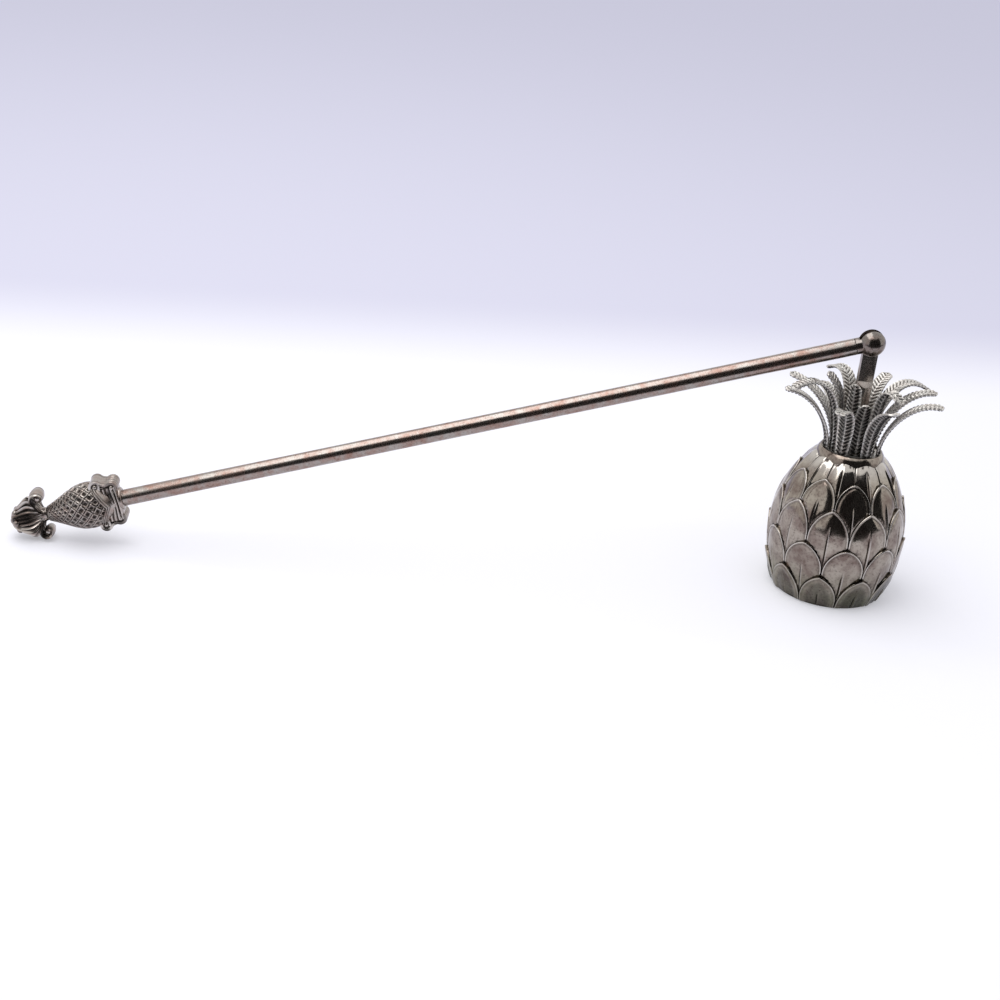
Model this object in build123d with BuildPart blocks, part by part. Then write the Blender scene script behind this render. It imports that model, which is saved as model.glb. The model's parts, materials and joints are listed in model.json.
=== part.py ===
from build123d import *
from math import asin, atan2, cos, degrees, hypot, pi, radians, sin
import os

# A hinged candle snuffer. The bell is shaped like a pineapple with a crown of
# bent leaves, and a long handle that ends in a small pineapple finial is
# hinged to the post in the middle of the crown.
# Lengths are in millimetres and +Z is up. The origin is the centre of the
# bell's mouth, which stands flat on the table. The handle points along -X.

os.makedirs("parts", exist_ok=True)

# Bell shell
mouth_radius = 16.9
mouth_swell = 2.0
mouth_swell_height = 3.6
belly_radius = 20.35
belly_height = 18.4
belly_fall = 7.4
belly_rise = 10.1
shoulder_radius = 16.0
shoulder_height = 37.2
neck_radius = 8.8
bell_height = 44.6
bell_wall = 1.2
mouth_land = 1.6
neck_lip = 0.4
neck_recess = 1.6
wall_shares = (0.3, 0.45, 0.6, 0.75, 0.9, 1.15, 1.3, 1.45, 1.6, 1.75)
wall_top_share = 1.9

# Overlapping scales. Their tips stand on the bell's outline, and the ground
# that they rise from lies one relief deeper.
scales_round = 10
scale_relief = 0.6
scale_sink = 0.2
scale_root = 0.15
scale_gap = 0.35
scale_steps = 3
rim_land = 0.8
arch_width_share = 0.28
arch_height_share = 0.62
ground_shares = (0.3, 0.5, 0.75, 1.0, 1.2, 1.4, 1.6, 1.8)

# Each row of scales: the azimuth of one scale in degrees, and the places of its
# foot, shoulder and tip as shares of the outline's lower curve, plus 1 for
# shares of its upper curve.
scale_row_shares = (
    (247, 0.0, 0.09, 0.60),
    (265, 0.03, 0.67, 1.07),
    (247, 0.48, 1.15, 1.45),
    (265, 1.04, 1.50, 1.73),
    (247, 1.41, 1.78, 1.97),
)

# Post that carries the hinge, cut from the same bar as the handle
bar_radius = 2.38
post_rise = 32.7
tang_length = 11.3
tang_thickness = 1.8
tang_slope_length = 1.5
thread_radius = 1.5
thread_length = 6.4
thread_gap = 0.1
thread_fit = 0.02

# Crown of leaves
crown_base_thickness = 1.0
crown_base_gap = 0.2
leaf_width = 4.8
leaf_thickness = 0.7
leaf_reach = 22.5
leaf_drop = 8.7
outer_ring = 7.8
middle_ring = 6.4
inner_ring = 5.0
heart_ring = 3.5
leaf_station_shares = (0.0, 0.12, 0.25, 0.38, 0.5, 0.62, 0.74, 0.85, 0.94, 1.0)
leaf_width_shares = (0.84, 0.88, 0.94, 0.98, 1.0, 0.98, 0.9, 0.78, 0.6, 0.34)

# Each leaf: azimuth in degrees, the ring that it stands on, the slope of its
# tip in degrees, and shares for its reach, its rise, the pull of its root and
# the pull of its tip.
leaf_table_shares = (
    (176, outer_ring, 0, 0.98, 0.69, 0.35, 0.31),
    (232, outer_ring, -20, 0.65, 0.60, 0.38, 0.30),
    (288, outer_ring, 8, 0.78, 0.72, 0.36, 0.33),
    (340, outer_ring, -8, 1.03, 0.71, 0.34, 0.36),
    (62, outer_ring, -6, 0.92, 0.56, 0.30, 0.34),
    (108, outer_ring, 0, 0.92, 0.54, 0.28, 0.34),
    (149, middle_ring, 8, 0.97, 0.75, 0.38, 0.40),
    (194, middle_ring, -32, 1.00, 0.80, 0.46, 0.60),
    (304, middle_ring, -42, 0.62, 0.79, 0.54, 0.44),
    (358, middle_ring, -5, 0.96, 0.79, 0.42, 0.37),
    (143, inner_ring, 34, 0.50, 0.86, 0.44, 0.30),
    (268, inner_ring, 70, 0.30, 0.66, 0.36, 0.26),
    (15, inner_ring, -34, 0.97, 0.74, 0.55, 0.55),
    (118, heart_ring, -34, 0.65, 0.84, 0.44, 0.52),
    (44, heart_ring, 17, 0.61, 0.85, 0.42, 0.39),
    (222, heart_ring, 84, 0.19, 0.86, 0.40, 0.26),
)

# Washer and nut under the shell's top
washer_radius = 3.2
washer_thickness = 0.8
nut_across_flats = 5.5
nut_thickness = 2.4

# Hinge
ball_radius = 3.9
pin_radius = 1.0
pin_fit = 0.02
hinge_fit = 0.06
slot_gap = 0.1
slot_depth = 3.4
ball_neck = 4.8
spigot_radius = 1.4
spigot_length = 6.0
spigot_fit = 0.02

# Handle rod, measured from the hinge
rod_end = 219.5
stud_radius = 1.1
stud_fit = 0.03
stud_in_rod = 5.0
stud_in_crown = 4.0

# Finial collar with its two pairs of scrolls
socket_depth = 1.6
socket_gap = 0.03
collar_wall = 0.8
collar_length = 5.7
collar_flare = 5.4
scroll_half_width = 3.2
rod_scroll_radius = 1.8
rod_scroll_offset = 4.8
rod_scroll_place = 1.9
body_scroll_radius = 1.6
body_scroll_offset = 6.1
body_scroll_place = 6.4
scroll_web = 1.3

# Finial body, a small pineapple
body_length = 16.2
body_start_radius = 5.6
body_belly_radius = 6.8
body_belly_place = 4.2
body_end_radius = 2.2
body_taper_shares = (0.35, 0.55)
seat_gap = 0.03

# Pockets that leave a diamond lattice on the finial body. Each is a square on
# its corner, and its width and depth are shares of the lattice's cell.
lattice_round = 14
lattice_start = 0.9
lattice_width_share = 0.93
lattice_depth_share = 0.28
lattice_taper = 25

# Finial crown with its two curled leaves
crown_length = 11.4
crown_flare_radius = 5.0
crown_flare_place = 7.6
crown_root_radius = 2.0
crown_curl_radius = 2.5
crown_curl_offset = 4.9
crown_curl_place = 2.0
crown_web = 1.6

overrun = 1.0

# Heights up the bell and the post. The longest leaf ends below the hinge.
recess_floor = bell_height - neck_recess
shell_top_underside = recess_floor - bell_wall
crown_floor = recess_floor + crown_base_thickness
hinge_height = crown_floor + post_rise
tang_start = hinge_height - tang_length
leaf_rise = post_rise - leaf_drop

# The finial's lower curl rests on the table, which sets the handle's slope.
collar_start = rod_end - socket_depth
body_start = collar_start + collar_length
crown_start = body_start + body_length
rest_place = crown_start + crown_curl_place
rest_radius = crown_curl_offset
rest_height = hinge_height - crown_curl_radius
rod_slope = asin(rest_height / hypot(rest_place, rest_radius)) - atan2(rest_radius, rest_place)

hinge_point = Vector(0, 0, hinge_height)
rod_direction = Vector(-cos(rod_slope), 0, -sin(rod_slope))
rod_axis = Axis(hinge_point, rod_direction)
# In the side plane x runs along the rod from the hinge and y is square to it.
side_plane = Plane(origin=hinge_point, x_dir=rod_direction, z_dir=(0, 1, 0))
# The rod plane is the cross section of the rod at the hinge.
rod_plane = Plane(origin=hinge_point, x_dir=(0, 1, 0), z_dir=rod_direction)


def finish(part, name):
    """Label a finished piece and write it to its own file."""
    part.label = name
    export_step(part, f"parts/{name}.step")


# The bell's outline in two curves, from the rim to the belly and on to the neck
with BuildLine():
    lower = Bezier(
        (mouth_radius, 0),
        (mouth_radius + mouth_swell, mouth_swell_height),
        (belly_radius, belly_height - belly_fall),
        (belly_radius, belly_height),
    )
    upper = Bezier(
        (belly_radius, belly_height),
        (belly_radius, belly_height + belly_rise),
        (shoulder_radius, shoulder_height),
        (neck_radius, bell_height),
    )


def under_outline(share, depth):
    """A point at a depth inside the outline, as a radius and a height."""
    curve, part_share = (lower, share) if share <= 1 else (upper, share - 1)
    place = curve @ part_share
    along = curve % part_share
    return place.X - along.Y * depth, place.Y + along.X * depth


def scale_row(azimuth, foot, shoulder, tip):
    """A ring whose face rises to the outline at its top, notched so that a row of scales is left."""
    foot_depth = scale_relief + scale_sink
    back_depth = foot_depth + scale_root
    stations = [foot + (tip - foot) * step / scale_steps for step in range(scale_steps + 1)]
    face = [
        under_outline(station, foot_depth * (1 - step / scale_steps))
        for step, station in enumerate(stations)
    ]
    back = [under_outline(station, back_depth) for station in reversed(stations)]
    foot_height = under_outline(foot, 0)[1]
    broad_radius, broad_height = under_outline(shoulder, 0)
    tip_radius, tip_height = under_outline(tip, 0)
    half_turn = pi / scales_round
    arch_height = broad_height + (tip_height - broad_height) * arch_height_share
    notch_side = [
        (scale_gap / 2, foot_height - overrun),
        (scale_gap / 2, broad_height),
        (broad_radius * sin(half_turn) * arch_width_share, arch_height),
        (tip_radius * sin(half_turn), tip_height),
        (tip_radius * sin(half_turn), tip_height + overrun),
    ]
    other_side = [(-across, height) for across, height in reversed(notch_side)]
    with BuildPart() as notch:
        with BuildSketch(Plane.YZ):
            with BuildLine():
                Polyline(*notch_side, *other_side, close=True)
            make_face()
        extrude(amount=belly_radius + overrun)
    with BuildPart() as row:
        with BuildSketch(Plane.XZ):
            with BuildLine():
                Polyline(*face, *back, close=True)
            make_face()
        revolve(axis=Axis.Z)
        with PolarLocations(0, scales_round, start_angle=azimuth + degrees(half_turn)):
            add(notch.part, mode=Mode.SUBTRACT)
    return row.part


# Bell shell, turned about the upright axis, with its rows of scales
with BuildPart() as bell_shell:
    with BuildSketch(Plane.XZ):
        with BuildLine():
            wall_points = [(mouth_radius - bell_wall, mouth_land)]
            wall_points += [under_outline(share, bell_wall) for share in wall_shares]
            inner_wall = Spline([point for point in wall_points if point[1] < shell_top_underside])
            wall_top = under_outline(wall_top_share, bell_wall)
            Polyline(
                (mouth_radius, 0),
                (mouth_radius, rim_land),
                *[under_outline(share, scale_relief) for share in ground_shares],
                (neck_radius, bell_height),
                (neck_radius - neck_lip, bell_height),
                (neck_radius - neck_lip, recess_floor),
                (thread_radius + thread_gap, recess_floor),
                (thread_radius + thread_gap, shell_top_underside),
                (wall_top[0], shell_top_underside),
                inner_wall @ 1,
            )
            Polyline(
                (mouth_radius, 0),
                (mouth_radius - bell_wall, 0),
                (mouth_radius - bell_wall, mouth_land),
            )
        make_face()
    revolve(axis=Axis.Z)
    add([scale_row(*row) for row in scale_row_shares])
finish(bell_shell.part, "bell_shell")

# Disc in the shell's neck that the leaves are soldered to
with BuildPart() as crown_base:
    with BuildSketch(Plane.XY.offset(recess_floor)):
        Circle(neck_radius - neck_lip - crown_base_gap)
        Circle(thread_radius + thread_gap, mode=Mode.SUBTRACT)
    extrude(amount=crown_base_thickness)
finish(crown_base.part, "crown_base")


def leaf(azimuth, ring, tip_slope, reach_share, rise_share, root_share, tip_share):
    """A strip of one thickness that rises from the crown's floor and bends outwards."""
    outward = Vector(cos(radians(azimuth)), sin(radians(azimuth)), 0)
    across = Vector(outward.Y, -outward.X, 0)
    radial_plane = Plane(origin=(0, 0, crown_floor), x_dir=outward, z_dir=across)
    tip_radius = leaf_reach * reach_share
    tip_height = leaf_rise * rise_share
    pull = leaf_rise * tip_share
    with BuildPart() as strip:
        with BuildLine(radial_plane):
            spine = Bezier(
                (ring, 0),
                (ring, leaf_rise * root_share),
                (tip_radius - pull * cos(radians(tip_slope)), tip_height - pull * sin(radians(tip_slope))),
                (tip_radius, tip_height),
            )
        for station, width_share in zip(leaf_station_shares, leaf_width_shares):
            section = Plane(origin=spine @ station, x_dir=across, z_dir=spine % station)
            with BuildSketch(section):
                Rectangle(leaf_width * width_share, leaf_thickness)
        loft()
    return strip.part


leaves = [leaf(*row) for row in leaf_table_shares]
for number, piece in enumerate(leaves, start=1):
    finish(piece, f"leaf_{number:02d}")

# Post with two flats that leave the tang, and a threaded foot
with BuildPart() as hinge_post:
    with BuildSketch(Plane.XY.offset(crown_floor)):
        Circle(bar_radius)
    extrude(amount=hinge_height + bar_radius - crown_floor)
    with BuildSketch(Plane.YZ):
        with BuildLine():
            Polyline(
                (-bar_radius, crown_floor),
                (bar_radius, crown_floor),
                (bar_radius, tang_start - tang_slope_length),
                (tang_thickness / 2, tang_start),
                (tang_thickness / 2, hinge_height + bar_radius),
                (-tang_thickness / 2, hinge_height + bar_radius),
                (-tang_thickness / 2, tang_start),
                (-bar_radius, tang_start - tang_slope_length),
                close=True,
            )
        make_face()
    extrude(amount=bar_radius, both=True, mode=Mode.INTERSECT)
    with BuildSketch(Plane.XZ):
        with Locations((0, hinge_height)):
            Circle(bar_radius)
        with Locations((0, crown_floor)):
            Rectangle(2 * bar_radius, hinge_height - crown_floor, align=(Align.CENTER, Align.MIN))
    extrude(amount=bar_radius, both=True, mode=Mode.INTERSECT)
    with BuildSketch(Plane.XZ):
        with Locations((0, hinge_height)):
            Circle(pin_radius + hinge_fit)
    extrude(amount=bar_radius, both=True, mode=Mode.SUBTRACT)
    with BuildSketch(Plane.XY.offset(crown_floor)):
        Circle(thread_radius)
    extrude(amount=-thread_length)
finish(hinge_post.part, "hinge_post")

# Washer against the underside of the shell's top
with BuildPart() as post_washer:
    with BuildSketch(Plane.XY.offset(shell_top_underside)):
        Circle(washer_radius)
        Circle(thread_radius + thread_gap, mode=Mode.SUBTRACT)
    extrude(amount=-washer_thickness)
finish(post_washer.part, "post_washer")

# Nut that clamps the post, the crown base and the shell together
with BuildPart() as post_nut:
    with BuildSketch(Plane.XY.offset(shell_top_underside - washer_thickness)):
        RegularPolygon(nut_across_flats / 2, 6, major_radius=False)
        Circle(thread_radius + thread_fit, mode=Mode.SUBTRACT)
    extrude(amount=-nut_thickness)
finish(post_nut.part, "post_nut")

# Slotted ball on the handle's end, with a neck and a spigot for the rod
with BuildPart() as knuckle_ball:
    with Locations(side_plane.location):
        Sphere(ball_radius)
    with BuildSketch(rod_plane):
        Circle(bar_radius)
    extrude(amount=ball_neck)
    with BuildSketch(rod_plane.offset(ball_neck)):
        Circle(spigot_radius)
    extrude(amount=spigot_length)
    with BuildSketch(side_plane):
        with Locations((slot_depth, 0)):
            Rectangle(
                slot_depth + ball_radius + overrun,
                2 * (ball_radius + overrun),
                align=(Align.MAX, Align.CENTER),
            )
    extrude(amount=tang_thickness / 2 + slot_gap, both=True, mode=Mode.SUBTRACT)
    with BuildSketch(side_plane):
        Circle(pin_radius + pin_fit)
    extrude(amount=ball_radius + overrun, both=True, mode=Mode.SUBTRACT)
finish(knuckle_ball.part, "knuckle_ball")

# Pin through both cheeks, its ends dressed round with the ball
with BuildPart() as hinge_pin:
    with BuildSketch(side_plane):
        Circle(pin_radius)
    extrude(amount=ball_radius + overrun, both=True)
    with Locations(side_plane.location):
        Sphere(ball_radius, mode=Mode.INTERSECT)
finish(hinge_pin.part, "hinge_pin")

# Handle rod, bored at both ends
with BuildPart() as handle_rod:
    with BuildSketch(rod_plane.offset(ball_neck)):
        Circle(bar_radius)
    extrude(amount=rod_end - ball_neck)
    with BuildSketch(rod_plane.offset(ball_neck)):
        Circle(spigot_radius + spigot_fit)
    extrude(amount=spigot_length + spigot_fit, mode=Mode.SUBTRACT)
    with BuildSketch(rod_plane.offset(rod_end)):
        Circle(stud_radius + stud_fit)
    extrude(amount=-(stud_in_rod + stud_fit), mode=Mode.SUBTRACT)
finish(handle_rod.part, "handle_rod")

# Stud that strings the finial's pieces onto the rod
with BuildPart() as finial_stud:
    with BuildSketch(rod_plane.offset(rod_end - stud_in_rod)):
        Circle(stud_radius)
    extrude(amount=crown_start + stud_in_crown - rod_end + stud_in_rod)
finish(finial_stud.part, "finial_stud")


def belly_points(gap):
    """Points of the finial body's widest part in the side plane, grown outwards by the gap."""
    return (
        (body_start, body_start_radius + gap),
        (body_start + body_belly_place / 2, body_belly_radius + gap),
        (body_start + body_belly_place, body_belly_radius + gap),
    )


def taper_points(gap):
    """Points of the finial body's taper in the side plane, grown outwards by the gap."""
    belly_place = body_start + body_belly_place
    taper_length = crown_start - belly_place
    middle_radius = (body_belly_radius + body_end_radius) / 2
    return (
        (belly_place, body_belly_radius + gap),
        (belly_place + taper_length * body_taper_shares[0], body_belly_radius + gap),
        (belly_place + taper_length * body_taper_shares[1], middle_radius + gap),
        (crown_start, body_end_radius + gap),
    )


def body_outline(gap):
    """The finial body's half outline in the side plane, grown outwards by the gap."""
    with BuildLine() as outline:
        Bezier(*belly_points(gap))
        Bezier(*taper_points(gap))
        Polyline(
            (crown_start, body_end_radius + gap),
            (crown_start, 0),
            (body_start, 0),
            (body_start, body_start_radius + gap),
        )
    return outline.line


def lattice_pocket(surface, rise, half_cell):
    """One pocket, at a point of the body's side where the side runs along the rise."""
    pocket_depth = half_cell * lattice_depth_share
    pocket_side = hypot(half_cell, half_cell) * lattice_width_share
    outside = Plane(origin=(surface.X, 0, surface.Y), x_dir=(0, 1, 0), z_dir=(rise.Y, 0, -rise.X))
    with BuildPart() as pocket:
        with BuildSketch(outside.offset(pocket_depth)):
            Rectangle(pocket_side, pocket_side, rotation=45)
        extrude(amount=-2 * pocket_depth, taper=lattice_taper)
    return pocket.part


# Pockets in tiers from the collar to the crown, every other tier turned by half
# a cell. Each tier is one pocket with its place along the rod and its turn.
with BuildLine() as side_line:
    Bezier(*[(radius, place) for place, radius in belly_points(0)])
    Bezier(*[(radius, place) for place, radius in taper_points(0)])
body_side = side_line.wires()[0]
tiers = []
tier_length = lattice_start
while tier_length < body_side.length - lattice_start:
    tier_share = tier_length / body_side.length
    half_cell = pi * (body_side @ tier_share).X / lattice_round
    turn = degrees(pi / lattice_round) * (len(tiers) % 2)
    tiers.append((lattice_pocket(body_side @ tier_share, body_side % tier_share, half_cell), turn))
    tier_length += half_cell

# Finial body, turned about the rod's axis
with BuildPart() as finial_body:
    with BuildSketch(side_plane):
        add(body_outline(0))
        make_face()
    revolve(axis=rod_axis)
    for pocket, turn in tiers:
        with Locations(rod_plane.location):
            with PolarLocations(0, lattice_round, start_angle=turn):
                add(pocket, mode=Mode.SUBTRACT)
    with BuildSketch(rod_plane.offset(body_start)):
        Circle(stud_radius + stud_fit)
    extrude(amount=body_length, mode=Mode.SUBTRACT)
finish(finial_body.part, "finial_body")

# Finial collar: a flared hub with a pair of scrolls above and a pair below
with BuildPart() as finial_collar:
    with BuildSketch(side_plane):
        with BuildLine():
            Polyline(
                (collar_start, 0),
                (collar_start, bar_radius + collar_wall),
                (rod_end, bar_radius + collar_wall),
                (body_start, collar_flare),
                (body_start, 0),
                close=True,
            )
        make_face()
    revolve(axis=rod_axis)
    with BuildSketch(side_plane):
        for side in (1, -1):
            rod_scroll = (collar_start + rod_scroll_place, side * rod_scroll_offset)
            body_scroll = (collar_start + body_scroll_place, side * body_scroll_offset)
            with Locations(rod_scroll):
                Circle(rod_scroll_radius)
            with Locations(body_scroll):
                Circle(body_scroll_radius)
            with BuildLine():
                Polyline(
                    (rod_scroll[0] - scroll_web, rod_scroll[1]),
                    (rod_scroll[0], rod_scroll[1] + side * scroll_web),
                    (body_scroll[0], body_scroll[1] + side * scroll_web),
                    (body_scroll[0], bar_radius * side),
                    (rod_scroll[0] - scroll_web, bar_radius * side),
                    close=True,
                )
            make_face()
    extrude(amount=scroll_half_width, both=True)
    with BuildSketch(side_plane):
        add(body_outline(seat_gap))
        make_face()
    revolve(axis=rod_axis, mode=Mode.SUBTRACT)
    with BuildSketch(rod_plane.offset(collar_start)):
        Circle(bar_radius + socket_gap)
    extrude(amount=socket_depth, mode=Mode.SUBTRACT)
    with BuildSketch(rod_plane.offset(rod_end)):
        Circle(stud_radius + stud_fit)
    extrude(amount=body_start - rod_end, mode=Mode.SUBTRACT)
finish(finial_collar.part, "finial_collar")

# Finial crown: a ribbed bud between two leaves that curl back to the body
with BuildPart() as finial_crown:
    with BuildSketch(side_plane):
        flare_place = crown_start + crown_flare_place
        crown_end = crown_start + crown_length
        with BuildLine():
            Bezier(
                (crown_start, crown_root_radius),
                (crown_start + crown_flare_place / 2, crown_root_radius),
                (crown_start + crown_flare_place / 2, crown_flare_radius),
                (flare_place, crown_flare_radius),
            )
            Bezier(
                (flare_place, crown_flare_radius),
                (crown_end, crown_flare_radius),
                (crown_end, 0),
            )
            Polyline((crown_end, 0), (crown_start, 0), (crown_start, crown_root_radius))
        make_face()
    revolve(axis=rod_axis)
    with BuildSketch(side_plane):
        for side in (1, -1):
            curl = (crown_start + crown_curl_place, side * crown_curl_offset)
            with Locations(curl):
                Circle(crown_curl_radius)
            with BuildLine():
                Polyline(
                    (curl[0], curl[1]),
                    (curl[0] + crown_curl_radius, curl[1]),
                    (crown_start + crown_flare_place / 2 + crown_web, 0),
                    (crown_start + crown_web, 0),
                    close=True,
                )
            make_face()
    extrude(amount=scroll_half_width, both=True)
    with BuildSketch(side_plane):
        with Locations((crown_start, 0)):
            Rectangle(
                crown_curl_radius + overrun,
                2 * (body_end_radius + seat_gap),
                align=(Align.MAX, Align.CENTER),
            )
    extrude(amount=scroll_half_width + overrun, both=True, mode=Mode.SUBTRACT)
    with BuildSketch(rod_plane.offset(crown_start)):
        Circle(stud_radius + stud_fit)
    extrude(amount=stud_in_crown + stud_fit, mode=Mode.SUBTRACT)
finish(finial_crown.part, "finial_crown")

print("handle slope", round(degrees(rod_slope), 2))
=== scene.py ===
import json
import math
from bisect import bisect_right
from collections import namedtuple

import bpy
from bpy.props import FloatProperty, FloatVectorProperty, IntProperty, PointerProperty
from mathutils import Matrix, Vector


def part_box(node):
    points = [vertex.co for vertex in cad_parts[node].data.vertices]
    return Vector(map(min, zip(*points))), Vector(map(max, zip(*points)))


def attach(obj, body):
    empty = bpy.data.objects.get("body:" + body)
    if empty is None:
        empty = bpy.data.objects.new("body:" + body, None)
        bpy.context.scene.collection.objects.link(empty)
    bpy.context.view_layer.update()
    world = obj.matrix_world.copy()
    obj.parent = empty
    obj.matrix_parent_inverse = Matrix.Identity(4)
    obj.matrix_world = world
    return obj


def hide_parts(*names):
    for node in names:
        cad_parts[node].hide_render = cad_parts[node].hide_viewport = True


bl_info = {
    "name": "Pineapple Candle Snuffer",
    "version": (1, 0, 0),
    "blender": (4, 5, 0),
    "location": "3D View > Sidebar > Snuffer",
    "description": "Dresses the hinged candle snuffer with its scales, leaves, finial and worn silver plate",
    "category": "Object",
}

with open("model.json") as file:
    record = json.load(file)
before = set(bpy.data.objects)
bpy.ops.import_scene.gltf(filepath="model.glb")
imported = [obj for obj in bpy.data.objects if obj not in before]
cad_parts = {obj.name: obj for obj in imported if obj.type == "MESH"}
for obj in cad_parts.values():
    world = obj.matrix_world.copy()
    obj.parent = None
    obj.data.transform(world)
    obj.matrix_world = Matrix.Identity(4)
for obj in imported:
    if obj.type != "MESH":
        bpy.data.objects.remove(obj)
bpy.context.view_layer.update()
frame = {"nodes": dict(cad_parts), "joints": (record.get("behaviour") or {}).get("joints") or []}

MM = 0.001
weld_distance = 0.002 * MM

# Places read from the frame
hinge_point = Vector(frame["joints"][0]["pos_m"])
stud_low, stud_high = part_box("finial_stud")
rod_direction = ((stud_low + stud_high) / 2 - hinge_point).normalized()
rod_up = Vector((0, 1, 0)).cross(rod_direction).normalized()
if rod_up.z < 0:
    rod_up.negate()
crown_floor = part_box("leaf_01")[0].z

# The bell's outline as two curves, from the rim to the belly and on to the neck
rim_radius = 16.9 * MM
belly_radius = 20.35 * MM
belly_height = 18.4 * MM
neck_radius = 8.8 * MM
bell_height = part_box("bell_shell")[1].z
lower_outline = (
    (rim_radius, 0), (18.9 * MM, 3.6 * MM), (belly_radius, 11.0 * MM), (belly_radius, belly_height)
)
upper_outline = (
    (belly_radius, belly_height), (belly_radius, 28.5 * MM), (16.0 * MM, 37.2 * MM),
    (neck_radius, bell_height),
)

# Rows of scales from the rim up. First in millimetres: the lengths along the
# outline to each row's foot, shoulder and tip, the height of its edge bead, the
# depth of the bowl in its middle and how far its sides fall away. Then the
# azimuth of one scale, the roundness of its tip and the share of its height
# that the crease reaches.
ScaleRow = namedtuple("ScaleRow", "foot shoulder tip bead bowl fall azimuth roundness crease_top")
scale_rows = tuple(
    ScaleRow(*(size * MM for size in row[:6]), *row[6:])
    for row in (
        (0.2, 1.6, 11.2, 0.14, 0.30, 0.22, 247, 0.60, 0.55),
        (0.6, 12.6, 20.9, 0.20, 0.0, 0.36, 265, 0.75, 0.70),
        (9.0, 23.2, 32.0, 0.20, 0.0, 0.36, 247, 0.45, 0.82),
        (20.0, 33.6, 40.4, 0.20, 0.0, 0.36, 265, 0.7, 0.74),
        (31.0, 42.6, 55.0, 0.05, 0.0, 0.50, 247, 0.8, 0.86),
    )
)

# Each leaf: azimuth and ring of its root, slope of its tip, its reach and rise as
# shares of the greatest ones, and the pulls of root and tip as shares of the rise.
leaf_reach = 22.5 * MM
leaf_rise = 24.0 * MM
outer_ring = 7.8 * MM
middle_ring = 6.4 * MM
inner_ring = 5.0 * MM
heart_ring = 3.5 * MM
leaf_table = (
    (176, outer_ring, 0, 0.98, 0.69, 0.35, 0.31),
    (232, outer_ring, -20, 0.65, 0.60, 0.38, 0.30),
    (288, outer_ring, 8, 0.78, 0.72, 0.36, 0.33),
    (340, outer_ring, -8, 1.03, 0.71, 0.34, 0.36),
    (62, outer_ring, -6, 0.92, 0.56, 0.30, 0.34),
    (108, outer_ring, 0, 0.92, 0.54, 0.28, 0.34),
    (149, middle_ring, 8, 0.97, 0.75, 0.38, 0.40),
    (194, middle_ring, -32, 1.00, 0.80, 0.46, 0.60),
    (304, middle_ring, -42, 0.62, 0.79, 0.54, 0.44),
    (358, middle_ring, -5, 0.96, 0.79, 0.42, 0.37),
    (143, inner_ring, 34, 0.50, 0.86, 0.44, 0.30),
    (268, inner_ring, 70, 0.30, 0.66, 0.36, 0.26),
    (15, inner_ring, -34, 0.97, 0.74, 0.55, 0.55),
    (118, heart_ring, -34, 0.65, 0.84, 0.44, 0.52),
    (44, heart_ring, 17, 0.61, 0.85, 0.42, 0.39),
    (222, heart_ring, 84, 0.19, 0.86, 0.40, 0.26),
)

# Radius of the handle's rod, and places along it from the hinge
bar_radius = 2.38 * MM
rod_start = 4.8 * MM
rod_end = 219.5 * MM
collar_start = 217.9 * MM
body_start = 223.6 * MM
crown_start = 239.8 * MM

# Ribs side by side on each strip of the finial
strip_ribs = 5


def bezier(points, share):
    """The point at a share of a cubic curve that four pairs draw."""
    rest = 1 - share
    weights = (rest**3, 3 * rest * rest * share, 3 * rest * share * share, share**3)
    return Vector([sum(weight * point[axis] for weight, point in zip(weights, points)) for axis in (0, 1)])


def smooth(value, low, high):
    """A soft step from 0 at low to 1 at high."""
    share = min(max((value - low) / (high - low), 0), 1)
    return share * share * (3 - 2 * share)


def hump(value, middle, width):
    """A soft hump, 1 at its middle."""
    return math.exp(-(((value - middle) / width) ** 2))


def signed_power(value, power):
    """A value raised to a power, with its sign kept."""
    return math.copysign(abs(value) ** power, value)


def rib_wave(across):
    """Ribs side by side on a strip from -1 to 1, each 1 on its crest."""
    return math.cos(across * strip_ribs * math.pi)


def interval(marks, value):
    """The number of the last mark but the final one that a value has reached."""
    return min(max(bisect_right(marks, value) - 1, 0), len(marks) - 2)


class Outline:
    """A line through points of a half section, which gives places by their length along it."""

    def __init__(self, points):
        self.points = points
        self.lengths = [0.0]
        for before, after in zip(self.points, self.points[1:]):
            self.lengths.append(self.lengths[-1] + (after - before).length)
        self.length = self.lengths[-1]

    def at(self, length):
        """The radius and height at a length, and the unit normal that points out."""
        length = min(max(length, 0), self.length * 0.99999)
        low = interval(self.lengths, length)
        high = low + 1
        along = self.points[high] - self.points[low]
        share = (length - self.lengths[low]) / (self.lengths[high] - self.lengths[low])
        along.normalize()
        return self.points[low].lerp(self.points[high], share), Vector((along.y, -along.x))

    def raised(self, length, height):
        """The radius and height of a point that stands over the line at a length."""
        point, out = self.at(length)
        return point.x + out.x * height, point.y + out.y * height

    def length_to(self, height):
        """The length at which a line that only rises reaches a height."""
        for number, point in enumerate(self.points):
            if point.y >= height:
                return self.lengths[number]
        return self.length


def drawn(*curves, steps=120):
    """An outline along cubic curves that join."""
    points = [bezier(curve, step / steps) for curve in curves for step in range(steps)]
    return Outline(points + [Vector(curves[-1][3])])


bell_outline = drawn(lower_outline, upper_outline)


def side_point(along, out, across=0.0):
    """A point of the handle: along the rod, out from it in the upright plane, and across."""
    return hinge_point + rod_direction * along + rod_up * out + Vector((0, across, 0))


def deselect():
    """Leave nothing selected."""
    bpy.ops.object.select_all(action="DESELECT")


def pick(*pieces):
    """Select some pieces alone, with the first one active."""
    deselect()
    for piece in pieces:
        piece.select_set(True)
    bpy.context.view_layer.objects.active = pieces[0]


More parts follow.
